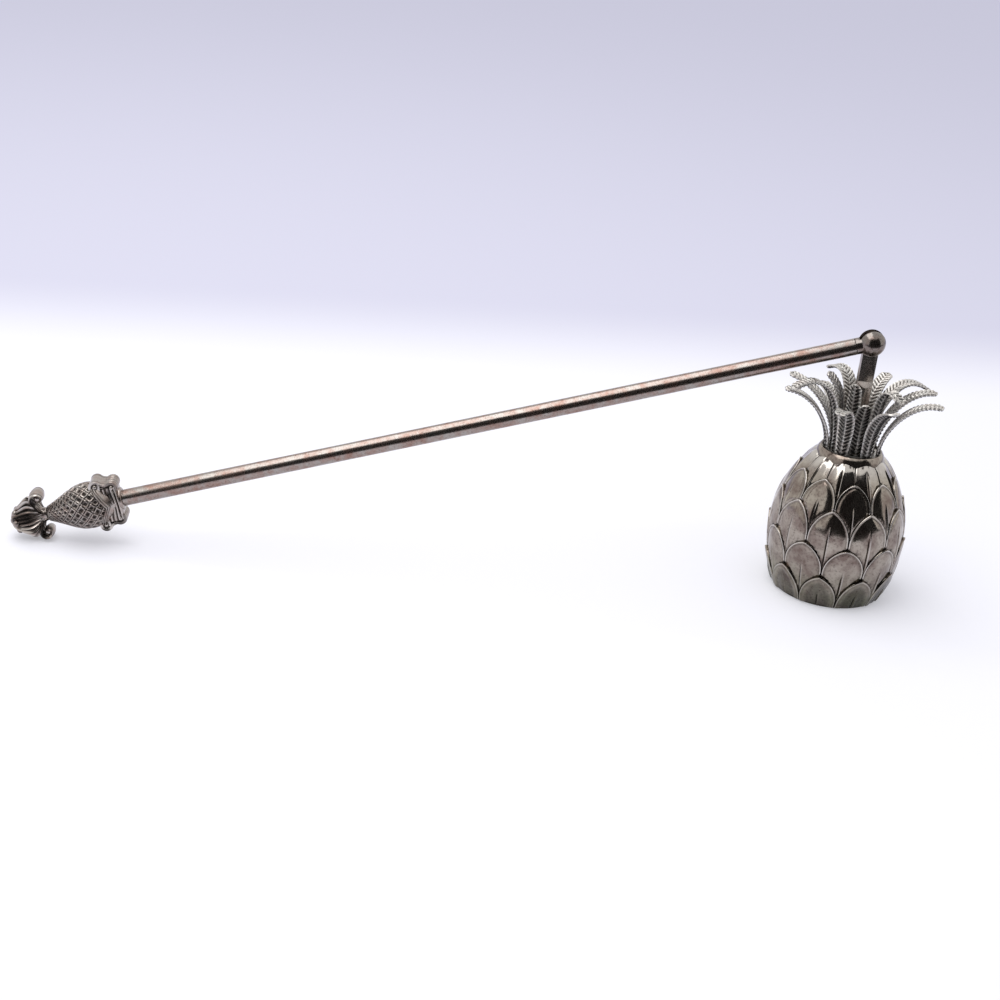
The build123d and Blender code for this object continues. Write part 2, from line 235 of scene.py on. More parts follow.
def edit(piece, *steps):
    """Run edit mode steps on all of one piece."""
    pick(piece)
    bpy.ops.object.mode_set(mode="EDIT")
    bpy.ops.mesh.select_all(action="SELECT")
    for step in steps:
        step()
    bpy.ops.object.mode_set(mode="OBJECT")


def merge():
    """Join points that lie on each other."""
    bpy.ops.mesh.remove_doubles(threshold=weld_distance)


def face_out():
    """Turn all faces outwards."""
    bpy.ops.mesh.normals_make_consistent(inside=False)


def close_back():
    """Fill each open edge loop with one face."""
    bpy.ops.mesh.select_all(action="DESELECT")
    bpy.ops.mesh.select_non_manifold(
        extend=False, use_wire=False, use_multi_face=False, use_non_contiguous=False, use_verts=False
    )
    bpy.ops.mesh.edge_face_add()
    bpy.ops.mesh.select_all(action="SELECT")


def new_grid(name, columns, rows):
    """A flat grid from -1 to 1 each way, of that many faces."""
    deselect()
    bpy.ops.mesh.primitive_grid_add(x_subdivisions=columns, y_subdivisions=rows, size=2)
    piece = bpy.context.active_object
    piece.name = piece.data.name = name
    return piece


def shape(piece, place):
    """Move each point of a grid by a rule that gives its place and its hollow mark, which the finishes paint
    dark as dirt and painted shade, or light as worn metal and painted highlight where it is below 0.
    """
    layer = piece.data.attributes.new("hollow", "FLOAT", "POINT")
    for point, mark in zip(piece.data.vertices, layer.data):
        point.co, mark.value = place(point.co.x, point.co.y)
    piece.data.update()


def copy_piece(piece, name):
    """A copy of a piece with its own mesh."""
    double = piece.copy()
    double.data = piece.data.copy()
    double.name = double.data.name = name
    bpy.context.scene.collection.objects.link(double)
    return double


def join(pieces, name):
    """Make one piece of several."""
    pick(*pieces)
    bpy.ops.object.join()
    whole = bpy.context.active_object
    whole.name = whole.data.name = name
    return whole


def apply_modifier(piece, kind, **settings):
    """Add a modifier, set it and apply it."""
    pick(piece)
    modifier = piece.modifiers.new(kind.title(), kind)
    for setting, value in settings.items():
        setattr(modifier, setting, value)
    bpy.ops.object.modifier_apply(modifier=modifier.name)


def smooth_shading(piece, degrees):
    """Shade a piece smooth, with edges sharper than an angle kept."""
    pick(piece)
    bpy.ops.object.shade_smooth_by_angle(angle=math.radians(degrees))


def remove(piece):
    """Delete a pattern piece that has been copied."""
    bpy.data.meshes.remove(piece.data)


def dress(piece, body, nodes, material):
    """Let a finished piece ride on its body in place of its nodes, with its finish."""
    piece.data.materials.clear()
    piece.data.materials.append(bpy.data.materials[material])
    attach(piece, body)
    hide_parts(*nodes)


def formed(name, columns, rows, place, *steps):
    """A grid moved by a rule and then edited."""
    piece = new_grid(name, columns, rows)
    shape(piece, place)
    edit(piece, *steps)
    return piece


def turned(name, outline, around, rows, place):
    """A body of revolution from an outline function, closed round its seam."""
    def turn(across, along):
        radius, height, hollow = outline((along + 1) / 2)
        return place(radius, height, math.pi * across), hollow

    return formed(name, around, rows, turn, merge, face_out)


def upright(radius, height, angle):
    """A point round the bell's axis."""
    return Vector((radius * math.cos(angle), radius * math.sin(angle), height))


def round_the_rod(radius, along, angle):
    """A point round the rod's axis."""
    return side_point(along, radius * math.cos(angle), radius * math.sin(angle))


def length_property(name, description, millimetres):
    """A length that the panel shows."""
    return FloatProperty(name=name, description=description, default=millimetres * MM, unit="LENGTH")


def colour_property(name, description, colour):
    """A colour that the panel shows."""
    return FloatVectorProperty(name=name, description=description, subtype="COLOR", default=colour)


class SnufferBell(bpy.types.PropertyGroup):
    """Sizes of the bell's relief"""

    scales: IntProperty(name="Scales", description="Scales in each row", default=10, min=6, max=16)
    wall: length_property("Wall", "Thickness of the bell's wall", 1.2)
    relief: length_property("Relief", "Depth from the scales' tips to the wall behind them", 0.95)
    overlap: length_property("Overlap", "How far a scale's tip stands out over its foot", 0.60)
    crease: length_property("Crease", "Depth of the middle crease", 0.4)


class SnufferLeaves(bpy.types.PropertyGroup):
    """Sizes of the crown's leaves"""

    width: length_property("Width", "Greatest width of a leaf", 4.8)
    thickness: length_property("Thickness", "Thickness of the strip", 0.42)
    midrib: length_property("Midrib", "Height of the midrib", 0.22)
    vein_height: length_property("Vein height", "Height of a vein", 0.28)
    vein_pitch: length_property("Vein pitch", "Distance between veins", 1.15)
    bead: length_property("Bead", "Size of the beads on the edge", 0.14)


class SnufferFinial(bpy.types.PropertyGroup):
    """Sizes of the finial's ornament"""

    cells: IntProperty(name="Cells", description="Lattice cells round the body", default=14, min=8, max=24)
    lattice: length_property("Lattice", "Depth of the lattice cells", 0.45)
    ribs: IntProperty(name="Ribs", description="Ribs round the bud", default=22, min=6, max=24)
    roll: length_property("Roll", "Thickness of the scrolled strips", 0.5)


class SnufferFinishes(bpy.types.PropertyGroup):
    """Colours of the worn plate"""

    plate: colour_property("Plate", "Bright silver plate", (0.46, 0.42, 0.39))
    tarnish: colour_property("Tarnish", "Warm tarnish on the plate", (0.30, 0.215, 0.185))
    brass: colour_property("Brass", "Bare brass of the fasteners", (0.50, 0.44, 0.24))
    # Dark colour of the hollows: real dirt and painted shade in creases, gaps and under overlaps
    grime_and_shade: colour_property("Grime", "Dark dirt in the hollows", (0.012, 0.010, 0.009))
    pewter: colour_property("Pewter", "Dull grey of the leaves", (0.56, 0.55, 0.52))
    bell: colour_property("Bell", "Darker plate of the bell", (0.355, 0.315, 0.268))
    rust: colour_property("Rust", "Reddish stains on the rod", (0.27, 0.165, 0.135))
    verdigris: colour_property("Verdigris", "Greenish stains near the bell's rim", (0.21, 0.215, 0.15))
    # Bright colour of ridges and rims: worn metal and painted highlight
    worn: colour_property("Worn", "Bright metal of worn ridges", (0.72, 0.69, 0.65))


class SnufferStage(bpy.types.PropertyGroup):
    """Floor, light and camera"""

    floor: colour_property("Floor", "Colour of the table", (0.965, 0.965, 0.985))
    far_floor: colour_property("Far floor", "Colour of the table towards its far side", (0.71, 0.705, 0.805))
    key: FloatProperty(name="Key light", description="Power of the overhead light", default=3.2, unit="POWER")
    sky: FloatProperty(name="Sky", description="Strength of the soft light all round", default=0.8)


class Value:
    """A node's output that takes part in Python sums."""

    def __init__(self, tree, socket):
        self.tree = tree
        self.socket = socket

    def sum(self, operation, first, second):
        """A math node on two values."""
        return self.tree.node("ShaderNodeMath", {"operation": operation}, {0: first, 1: second})

    def __add__(self, other):
        return self.sum("ADD", self, other)

    def __radd__(self, other):
        return self.sum("ADD", other, self)

    def __sub__(self, other):
        return self.sum("SUBTRACT", self, other)

    def __mul__(self, other):
        return self.sum("MULTIPLY", self, other)

    def at_least(self, other):
        return self.sum("MAXIMUM", self, other)

    def at_most(self, other):
        return self.sum("MINIMUM", self, other)


class Tree:
    """The nodes of a material or a world under construction."""

    def __init__(self, owner):
        owner.use_nodes = True
        self.nodes = owner.node_tree.nodes
        self.links = owner.node_tree.links

    def node(self, kind, settings=None, inputs=None, output=0):
        """Add a node, set it, fill its inputs and give its output."""
        node = self.nodes.new(kind)
        for setting, value in (settings or {}).items():
            setattr(node, setting, value)
        for name, value in (inputs or {}).items():
            self.fill(node.inputs[name], value)
        return Value(self, node.outputs[output])

    def fill(self, socket, value):
        """Link a value to a socket, or set the socket."""
        if isinstance(value, Value):
            self.links.new(value.socket, socket)
        elif socket.type == "RGBA":
            socket.default_value = (*value, 1)
        else:
            socket.default_value = value


class Finish(Tree):
    """A material under construction."""

    def __init__(self, name):
        self.material = bpy.data.materials.new(name)
        super().__init__(self.material)
        self.shader = self.nodes["Principled BSDF"]

    def mix(self, share, first, second):
        """Two colours mixed by a share."""
        return self.node("ShaderNodeMix", {"data_type": "RGBA"}, {0: share, 6: first, 7: second}, output=2)

    def coordinates(self):
        """Object coordinates."""
        return self.node("ShaderNodeTexCoord", output=3)

    def axis(self, place, number):
        """One coordinate of a place."""
        return self.node("ShaderNodeSeparateXYZ", None, {0: place}, output=number)

    def noise(self, place, scale, detail, roughness):
        """A noise's level at a place."""
        inputs = {"Vector": place, "Scale": scale, "Detail": detail, "Roughness": roughness}
        return self.node("ShaderNodeTexNoise", None, inputs)

    def ramp(self, value, *stops):
        """A value reshaped by two stops, each a place and a grey level."""
        reshaped = self.node("ShaderNodeValToRGB", None, {0: value})
        for element, (place, level) in zip(reshaped.socket.node.color_ramp.elements, stops):
            element.position = place
            element.color = (level, level, level, 1)
        return reshaped

    def bump(self, height, strength, distance):
        """A normal from a height."""
        inputs = {"Strength": strength, "Distance": distance, "Height": height}
        return self.node("ShaderNodeBump", None, inputs)

    def set(self, **inputs):
        """Fill the shader's own inputs, named with underscores for spaces."""
        for name, value in inputs.items():
            self.fill(self.shader.inputs[name.replace("_", " ")], value)


def toned(colour, share):
    """A colour made darker or lighter."""
    return tuple(level * share for level in colour)


def worn_plate(name, bright, stain, stain_share, rough, patch=420.0, pits=0.35, metal=1.0, low_tint=None):
    """Plate with stains and pits, darkened with dirt and painted shade where "hollow" is above 0 and
    lightened with bright worn metal and painted highlight where it is below.
    """
    colours = bpy.context.scene.snuffer_finishes
    finish = Finish(name)
    place = finish.coordinates()
    patches = finish.ramp(finish.noise(place, patch, 5.0, 0.6), (0.38, 0.0), (0.66, 1.0))
    specks = finish.ramp(finish.noise(place, patch * 7, 3.0, 0.7), (0.52, 0.0), (0.70, 1.0))
    # The hollow mark paints shade together with dirt where it is above 0, and highlight together with worn
    # metal where it is below 0
    hollow = finish.node("ShaderNodeAttribute", {"attribute_name": "hollow"}, output=2)
    grime_and_shade = hollow.at_least(0.0).at_most(1.0)
    wear_and_sheen = (hollow * -1.0).at_least(0.0).at_most(1.0)
    colour = finish.mix(patches * stain_share, bright, stain)
    if low_tint is not None:
        height = finish.axis(place, 2)
        low = finish.node("ShaderNodeMapRange", None, {0: height, 1: 0.014, 2: 0.002, 3: 0.0, 4: 0.9})
        blotch = finish.ramp(finish.noise(place, patch * 0.8, 4.0, 0.6), (0.36, 0.15), (0.60, 1.0))
        colour = finish.mix(low * blotch, colour, low_tint)
    colour = finish.mix(specks * pits, colour, toned(stain, 0.4))
    # Worn metal and painted highlight: crests, rims and the neck's petals lightened towards the bright colour
    colour = finish.mix(wear_and_sheen, colour, colours.worn)
    # Dirt and painted shade: the hollows darkened towards the dark colour
    colour = finish.mix(grime_and_shade, colour, colours.grime_and_shade)
    grain = finish.noise(place, 2600.0, 2.0, 0.6)
    finish.set(
        Base_Color=colour,
        Metallic=metal,
        Roughness=rough + patches * 0.07 + specks * 0.12 + grime_and_shade * 0.25,
        Normal=finish.bump(grain, 0.22, 0.06 * MM),
    )


class SNUFFER_OT_finishes(bpy.types.Operator):
    """Make the worn silver, pewter and brass finishes"""

    bl_idname = "snuffer.finishes"
    bl_label = "Finishes"

    def execute(self, context):
        colours = context.scene.snuffer_finishes
        plate = colours.plate
        tarnish = colours.tarnish
        worn_plate("bell_finish", colours.bell, toned(tarnish, 0.5), 0.9, 0.08, patch=200.0, pits=0.6,
                   low_tint=colours.verdigris)
        worn_plate("leaf_finish", colours.pewter, toned(tarnish, 1.3), 0.35, 0.34, patch=500.0, metal=0.88)
        worn_plate("post_finish", toned(plate, 0.9), tarnish, 0.5, 0.2, pits=0.5)
        worn_plate("knuckle_finish", toned(plate, 0.48), toned(tarnish, 0.6), 0.8, 0.15, pits=0.9)
        worn_plate("rod_finish", toned(plate, 0.72), colours.rust, 0.9, 0.19, patch=300.0, pits=0.65)
        worn_plate("finial_finish", toned(plate, 0.85), tarnish, 0.7, 0.21, patch=500.0, pits=0.5)
        worn_plate("fastener_finish", colours.brass, tarnish, 0.5, 0.35)
        return {"FINISHED"}


def half_width(row, length):
    """Half the width of a scale at a length along the bell's outline, as a share of its greatest."""
    share = min(max((length - row.shoulder) / (row.tip - row.shoulder), 0), 1)
    sharpness = 1 - row.roundness
    rise = 1 + 2 * sharpness
    arch = math.sqrt(max((1 + sharpness) ** 2 - rise * share * share, 0)) - sharpness
    return max(arch, 0)


def edge_distance(row, side, length, unit):
    """About how far a point of a scale lies inside the scale's edge."""
    here = half_width(row, length)
    sharpness = 1 - row.roundness
    top = math.sqrt(max((1 + sharpness) ** 2 - (side * here + sharpness) ** 2, 0) / (1 + 2 * sharpness))
    above = max(row.shoulder + (row.tip - row.shoulder) * top - length, 0)
    beside = (1 - side) * here * unit
    return above * beside / max(math.hypot(above, beside), 0.001 * MM)


def cover(number, angle, length, pitch):
    """How close a point of a scale lies to the edge of a lower scale, which is painted as shade along that
    edge, and how far under it.
    """
    shade_width = 0.34 * MM
    tuck_width = 0.35 * MM
    shade = under = 0.0
    for row in scale_rows[max(number - 2, 0):number]:
        offset = (math.degrees(angle) - row.azimuth + pitch / 2) % pitch - pitch / 2
        radius = bell_outline.at(length)[0].x
        across = abs(math.radians(offset)) * radius
        edge = half_width(row, length) * math.radians(pitch / 2) * radius
        gap = across - edge if length < row.tip else math.hypot(across, length - row.tip)
        shade = max(shade, 1 - max(gap, 0) / shade_width)
        under = max(under, smooth(-gap, 0.0, tuck_width))
    return shade, under


def scale_relief(row, across, share):
    """A scale's length, height over the outline and hollow mark, across from -1 to 1 and from foot to tip."""
    bell = bpy.context.scene.snuffer_bell
    neck_margin = 0.9 * MM
    crest = 0.24 * MM
    fold_line = -0.16 * MM
    length = row.foot + (min(row.tip, bell_outline.length - neck_margin) - row.foot) * share
    unit = math.pi / bell.scales * bell_outline.at(length)[0].x
    wide = half_width(row, length) * unit
    side = abs(across)
    inside = edge_distance(row, side, length, unit)
    height = -0.05 * MM - bell.overlap * (1 - share) * (0.35 if row.bowl else 1)
    height -= row.fall * side**1.7 * smooth(wide, 0, 2.5 * MM)
    height += row.bead * hump(inside, crest, 0.20 * MM)
    height -= row.bead * 0.5 * hump(inside, 0.80 * MM, 0.32 * MM)
    # Dark marks in the bead's groove, the bowl and the crease are dirt and painted shade; light marks on the
    # bead's crest and the crease's ridge are worn metal and painted highlight
    hollow = 0.40 * hump(inside, 0.72 * MM, 0.24 * MM) * row.bead / (0.2 * MM)
    wear_and_sheen = (0.4 if row.bowl else 0.8) * hump(inside, crest, 0.12 * MM)
    # At the neck the upper part of each petal is lightened with a painted highlight
    if row.tip > bell_outline.length:
        wear_and_sheen = 0.5 * smooth(share, 0.55, 0.85)
        height -= 0.4 * MM * smooth(share, 0.80, 1.0)
    if row.bowl:
        sunk = smooth(inside, 1.1 * MM, 2.3 * MM)
        height -= row.bowl * sunk
        height += 0.16 * MM * hump(inside, 0.8 * MM, 0.5 * MM)
        hollow = max(hollow * (1 - sunk), 0.5 * sunk)
    fold = smooth(row.crease_top - share, 0.0, 0.22)
    near = across * wide
    height -= bell.crease * fold * math.exp(-abs(near - fold_line) / (0.24 * MM))
    height += 0.24 * MM * fold * hump(near, 0.26 * MM, 0.22 * MM)
    height -= 0.10 * MM * fold * smooth(near, 0.3 * MM, 1.4 * MM)
    hollow = max(hollow, 0.95 * fold * hump(near, fold_line, 0.15 * MM))
    wear_and_sheen = max(wear_and_sheen, 0.5 * fold * hump(near, crest, 0.15 * MM))
    return length, max(height, 0.10 * MM - bell.relief), hollow - wear_and_sheen * (1 - hollow)


# Where a scale's points lie: across its half from the middle to the edge, and
# from foot to tip, closer together near the edge
column_shares = (
    0, 0.02, 0.04, 0.065, 0.10, 0.15, 0.22, 0.32, 0.44, 0.56, 0.67, 0.76, 0.83, 0.88, 0.92, 0.945, 0.965,
    0.985, 1.0,
)
row_shares = (
    0, 0.1, 0.2, 0.28, 0.35, 0.41, 0.46, 0.51, 0.56, 0.6, 0.64, 0.68, 0.72, 0.76, 0.8, 0.84, 0.87, 0.895,
    0.915, 0.932, 0.946, 0.958, 0.968, 0.977, 0.985, 0.992, 0.997,
)
scale_fill = 0.985
neck_sink = 0.5 * MM
edge_sink = 0.04 * MM
tuck = 0.5 * MM
tuck_sink = 0.12 * MM
rim_gap = 0.02 * MM


def make_scale(number, row, azimuth):
    """One scale of a row, bent to the bell."""
    bell = bpy.context.scene.snuffer_bell
    half = len(column_shares) - 1
    rows = len(row_shares) - 1
    pitch = 360 / bell.scales

    def place(x, y):
        column = round((x + 1) * half) - half
        across = math.copysign(column_shares[abs(column)], column)
        share = row_shares[round((y + 1) / 2 * rows)]
        length, height, hollow = scale_relief(row, across, share)
        angle = math.radians(azimuth + across * half_width(row, length) * pitch / 2 * scale_fill)
        # The scale's edge walls are marked dark as painted shade in the gaps, with dirt
        if abs(column) == half or share == row_shares[-1] or share == 0 and number:
            at_neck = row.tip > bell_outline.length and abs(column) < half
            height = -neck_sink if at_neck else -bell.relief - edge_sink
            hollow = 0.3 if at_neck else 1.0
        shade, under = cover(number, angle, length, pitch)
        height = max(height - tuck * under, min(height, -bell.relief - tuck_sink))
        # Painted shade near and under the edges of lower scales
        if shade > max(hollow, 0):
            hollow = shade
        radius, rise = bell_outline.raised(length, height)
        return upright(radius, max(rise, rim_gap), angle), min(hollow, 1)

    return formed(f"scale_{number}", 2 * half, rows, place, close_back, face_out)


class SNUFFER_OT_bell(bpy.types.Operator):
    """Build the bell with its overlapping scales"""

    bl_idname = "snuffer.bell"
    bl_label = "Bell"

    def execute(self, context):
        bell = context.scene.snuffer_bell
        mouth_land = 1.6 * MM
        underside = 41.8 * MM
        recess_floor = 43.0 * MM
        lip = 0.4 * MM
        thread_hole = 1.6 * MM
        outside_share = 0.42
        inside_start = 2.2 * MM
        inside_length = bell_outline.length * 0.9 - inside_start
        # Corners of the mouth and the neck, each with the share that it reaches to
        corners = (
            (0.02, rim_radius - bell.relief, 0, 0.6),
            (0.05, rim_radius - bell.wall, 0, 0.3),
            (0.10, rim_radius - bell.wall, mouth_land, 0.3),
            (0.78, thread_hole, underside, 0.8),
            (0.84, thread_hole, recess_floor, 0.8),
            (0.90, neck_radius - lip, recess_floor, 0.8),
            (0.95, neck_radius - lip, bell_height, 0.8),
            (math.inf, neck_radius - 0.05 * MM, bell_height, 0.0),
        )

        # The liner is marked dark, less so near the neck: painted shade in the gaps between scales, with dirt
        def wall(share):
            if share < outside_share:
                point, out = bell_outline.at(bell_outline.length * (1 - share / outside_share))
                near_neck = smooth(point.y, 42.0 * MM, bell_height - 0.5 * MM)
                depth = bell.relief * (1 - near_neck)
                rise = out.y * depth * smooth(point.y, 0, 1 * MM)
                return point.x - out.x * depth, point.y - rise, 0.85 * (1 - near_neck) ** 2
            share = (share - outside_share) / (1 - outside_share)
            if 0.10 <= share < 0.72:
                length = inside_start + inside_length * (share - 0.10) / 0.62
                radius, rise = bell_outline.raised(length, -bell.wall)
                return radius, min(rise, underside), 0.35
            return next(corner[1:] for corner in corners if share < corner[0])

        liner = turned("bell_liner", wall, 96, 150, upright)
        pieces = [liner]
        pitch = 360 / bell.scales
        for number, row in enumerate(scale_rows):
            for place in range(bell.scales):
                pieces.append(make_scale(number, row, row.azimuth + place * pitch))
        whole = join(pieces, "scaled_bell")
        smooth_shading(whole, 50)
        dress(whole, "bell", ["bell_shell"], "bell_finish")
        return {"FINISHED"}


def leaf_half_width(share, length, width):
    """Half the width of a leaf at a share of its length, rounded at its end."""
    body = width / 2 * (0.72 + 0.28 * smooth(share, 0, 0.5) - 0.22 * smooth(share, 0.55, 0.95))
    end = 1.3 * MM
    left = length * (1 - share)
    if left < end:
        body *= math.sqrt(max(1 - ((end - left) / end) ** 2, 0.0004))
    return body


def make_leaf(number, row):
    """One veined leaf on its spine."""
    leaves = bpy.context.scene.snuffer_leaves
    azimuth, ring, tip_slope, reach_share, rise_share, root_share, tip_share = row
    angle = math.radians(azimuth)
    outward = Vector((math.cos(angle), math.sin(angle), 0))
    sideways = Vector((-outward.y, outward.x, 0))
    reach = leaf_reach * reach_share
    rise = leaf_rise * rise_share
    slope = math.radians(tip_slope)
    pull = leaf_rise * tip_share
    bend = (reach - pull * math.cos(slope), rise - pull * math.sin(slope))
    spine = drawn(((ring, 0), (ring, leaf_rise * root_share), bend, (reach, rise)))
    columns = 16
    rows = 150
    piece = new_grid(f"veined_leaf_{number:02d}", columns, rows)
    vein_slant = 4.6
    dish = 0.35 * MM

    def place(x, y):
        share = (y + 1) / 2
        along = spine.length * share
        side = abs(x)
        across = side * leaf_half_width(share, spine.length, leaves.width)
        phase = 2 * math.pi * along / leaves.vein_pitch
        vein = math.cos(phase - vein_slant * across / leaves.vein_pitch)
        field = smooth(across, 0.18 * MM, 0.42 * MM) * (1 - smooth(side, 0.80, 0.93))
        height = leaves.vein_height * vein * field
        height += leaves.midrib * hump(across, 0, 0.2 * MM)
        edge = smooth(side, 0.8, 0.95)
        beads = 0.5 + 0.5 * math.cos(phase)
        height += leaves.bead * edge * (0.6 + 0.6 * beads)
        height += dish * side * side
        reach_out = across + leaves.bead * 0.6 * edge * beads
        # Dark between the veins, beside the midrib and at the root: dirt and painted shade; light on the vein
        # crests, midrib and beads: worn metal and painted highlight
        hollow = field * smooth(0.5 - 0.5 * vein, 0.45, 0.75)
        hollow = max(hollow, 0.7 * hump(across, 0.34 * MM, 0.10 * MM))
        hollow = max(hollow, 0.5 * (1 - smooth(along, 0.4 * MM, 3.0 * MM)))
        wear_and_sheen = max(field * smooth(vein, 0.2, 0.9), hump(across, 0, 0.16 * MM), edge * (0.4 + 0.6 * beads))
        hollow -= 0.6 * wear_and_sheen * (1 - hollow)
        from_axis, up = spine.raised(along, -height)
        base = outward * from_axis + Vector((0, 0, crown_floor + up))
        return base + sideways * math.copysign(reach_out, x), hollow

    shape(piece, place)
    apply_modifier(piece, "SOLIDIFY", thickness=leaves.thickness, offset=0.0)
    edit(piece, face_out)
    smooth_shading(piece, 60)
    return piece


class SNUFFER_OT_leaves(bpy.types.Operator):
    """Build the crown's veined leaves"""

    bl_idname = "snuffer.leaves"
    bl_label = "Leaves"

    def execute(self, context):
        for number, row in enumerate(leaf_table, start=1):
            piece = make_leaf(number, row)
            dress(piece, "bell", [f"leaf_{number:02d}"], "leaf_finish")
        return {"FINISHED"}


class SNUFFER_OT_rod(bpy.types.Operator):
    """Build the handle's rod"""

    bl_idname = "snuffer.rod"
    bl_label = "Rod"

    def execute(self, context):
        bevel = 0.2 * MM
        # Corners of half a section, each at its share of the outline
        corners = (
            (0.0, 0.0, rod_start),
            (0.06, bar_radius - bevel, rod_start),
            (0.12, bar_radius, rod_start + bevel),
            (0.88, bar_radius, rod_end - bevel),
            (0.94, bar_radius - bevel, rod_end),
            (1.0, 0.0, rod_end),
        )

        def bar(share):
            low = interval([corner[0] for corner in corners], share)
            before, after = corners[low:low + 2]
            part = (share - before[0]) / (after[0] - before[0])
            return (*(a + (b - a) * part for a, b in zip(before[1:], after[1:])), 0.0)

        rod = turned("round_rod", bar, 48, 50, round_the_rod)
        smooth_shading(rod, 30)
        dress(rod, "handle", ["handle_rod"], "rod_finish")
        return {"FINISHED"}


def lattice_outline():
    """The finial body's outline, from under the collar to the root of its crown."""
    belly = 6.75 * MM
    belly_place = body_start + 4.2 * MM
    end_radius = 2.2 * MM
    reach = crown_start - belly_place
    return drawn(
        ((4.6 * MM, body_start - 1.8 * MM), (5.9 * MM, body_start - 0.2 * MM), (belly, body_start + 2.0 * MM),
         (belly, belly_place)),
        ((belly, belly_place), (belly, belly_place + reach * 0.35),
         ((belly + end_radius) / 2, belly_place + reach * 0.55), (end_radius, crown_start)),
    )


class SNUFFER_OT_finial_body(bpy.types.Operator):
    """Build the finial's body with its diamond lattice"""

    bl_idname = "snuffer.finial_body"
    bl_label = "Finial body"

    def execute(self, context):
        finial = context.scene.snuffer_finial
        outline = lattice_outline()
        steps = 400
        turns = [0.0]
        for step in range(steps):
            point = outline.at(outline.length * (step + 0.5) / steps)[0]
            turns.append(turns[-1] + outline.length / steps / point.x)

        def length_at(turn):
            low = interval(turns, turn)
            return outline.length * (low + (turn - turns[low]) / (turns[low + 1] - turns[low])) / steps

        cell = 2 * math.pi / finial.cells
        anchor = outline.length_to(body_start + 0.85 * MM) / outline.length
        first_turn = turns[round(anchor * steps)] - 1.5 * cell
        tiers = math.ceil(turns[-1] / cell) * 2 + 2
        pattern = new_grid("lattice_cell", 8, 8)
        pieces = []
        # Share of the depth and hollow mark on each ring of a cell, from its edge inwards. The hollow marks
        # darken the cell's edge and pit as dirt and painted shade, and lighten its ridge as worn metal and
        # painted highlight.
        rings = ((-0.6, 1.0), (0.0, -0.3), (-0.1, 0.4), (-0.85, 0.95), (-1.0, 0.8))
        crowding = 0.8
        full_size = 6.0 * MM

        def cell_place(angle, turn):
            def place(x, y):
                depth_share, hollow = rings[round((1 - max(abs(x), abs(y))) * 4)]
                spread_x = signed_power(x, crowding)
                spread_y = signed_power(y, crowding)
                around = angle + (spread_x - spread_y) * cell / 4
                up = min(max(turn + (spread_x + spread_y) * cell / 4, 0.0), turns[-1])
                point, out = outline.at(length_at(up))
                depth = finial.lattice * depth_share * min(point.x / full_size, 1)
                return round_the_rod(point.x + out.x * depth, point.y + out.y * depth, around), hollow

            return place

        for tier in range(tiers):
            turn = first_turn + tier * cell / 2
            if turn - cell / 2 > turns[-1]:
                break
            for number in range(finial.cells):
                piece = copy_piece(pattern, f"cell_{tier}_{number}")
                shape(piece, cell_place((number + 0.5 * (tier % 2)) * cell, turn))
                pieces.append(piece)
        remove(pattern)
        body = join(pieces, "lattice_body")
        edit(body, merge, close_back, face_out)
        smooth_shading(body, 60)
        dress(body, "handle", ["finial_body"], "finial_finish")
        return {"FINISHED"}


def across_the_rod(along, out, wide=1.0, tall=1.0):
    """A rule for turned pieces whose axis lies across the rod, stretched along the rod and out from it."""
    def place(radius, height, angle):
        forward = wide * radius * math.cos(angle)
        return side_point(along + forward, out + tall * radius * math.sin(angle), height)

    return place


def stepped(corners):
    """A turned outline through corners, each a radius, a place and a hollow mark."""
    def outline(share):
        place = share * (len(corners) - 1)
        low = min(int(place), len(corners) - 2)
        part = place - low
        return tuple(a + (b - a) * part for a, b in zip(corners[low], corners[low + 1]))

    return outline


def spindle(*corners):
    """A stepped outline through corners and then through their mirror images."""
    return stepped([(radius, -reach, hollow) for radius, reach, hollow in corners] + list(reversed(corners)))


def wound(centre, first_radius, last_radius, first_angle, last_angle, steps=70):
    """Points of a spiral in the side plane, with its angles in degrees."""
    points = []
    for step in range(steps + 1):
        share = step / steps
        radius = first_radius + (last_radius - first_radius) * share
        angle = math.radians(first_angle + (last_angle - first_angle) * share)
        points.append(Vector((centre[0] + radius * math.cos(angle), centre[1] + radius * math.sin(angle))))
    return points


def joined_by(before, after, pull, steps=16):
    """Points of a smooth bend from the end of one run of points to the start of the next."""
    leave = (before[-1] - before[-2]).normalized() * pull
    arrive = (after[1] - after[0]).normalized() * pull
    curve = (before[-1], before[-1] + leave, after[0] - arrive, after[0])
    return [bezier(curve, step / steps) for step in range(1, steps)]


def rolled_strip(name, path, side, wide, relief, thickness, rows=150):
    """A strip along a path above or below the rod, with a relief across it."""
    piece = new_grid(name, 28, rows)

    def place(x, y):
        share = (y + 1) / 2
        point, out = path.at(path.length * share)
        height, hollow = relief(x, share)
        point = point + out * height
        return side_point(point.x, side * point.y, x * wide(share)), hollow

    shape(piece, place)
    apply_modifier(piece, "SOLIDIFY", thickness=thickness, offset=0.0)
    edit(piece, face_out)
    return piece


def bead(name, along, out, across, radius):
    """A small knob, flattened a little along the rod."""
    flatness = 0.9
    corners = []
    for step in range(11):
        slope = math.pi * step / 10
        # The hollow mark falls from 0.5 on the knob's side towards the hinge to 0 on its far side: painted
        # shade where the knob sits
        corners.append((math.sin(slope) * radius, -math.cos(slope) * radius * flatness, 0.5 - step / 20))

    def place(spread, height, angle):
        return side_point(along + height, out + spread * math.cos(angle), across + spread * math.sin(angle))

    return turned(name, stepped(corners), 16, 20, place)


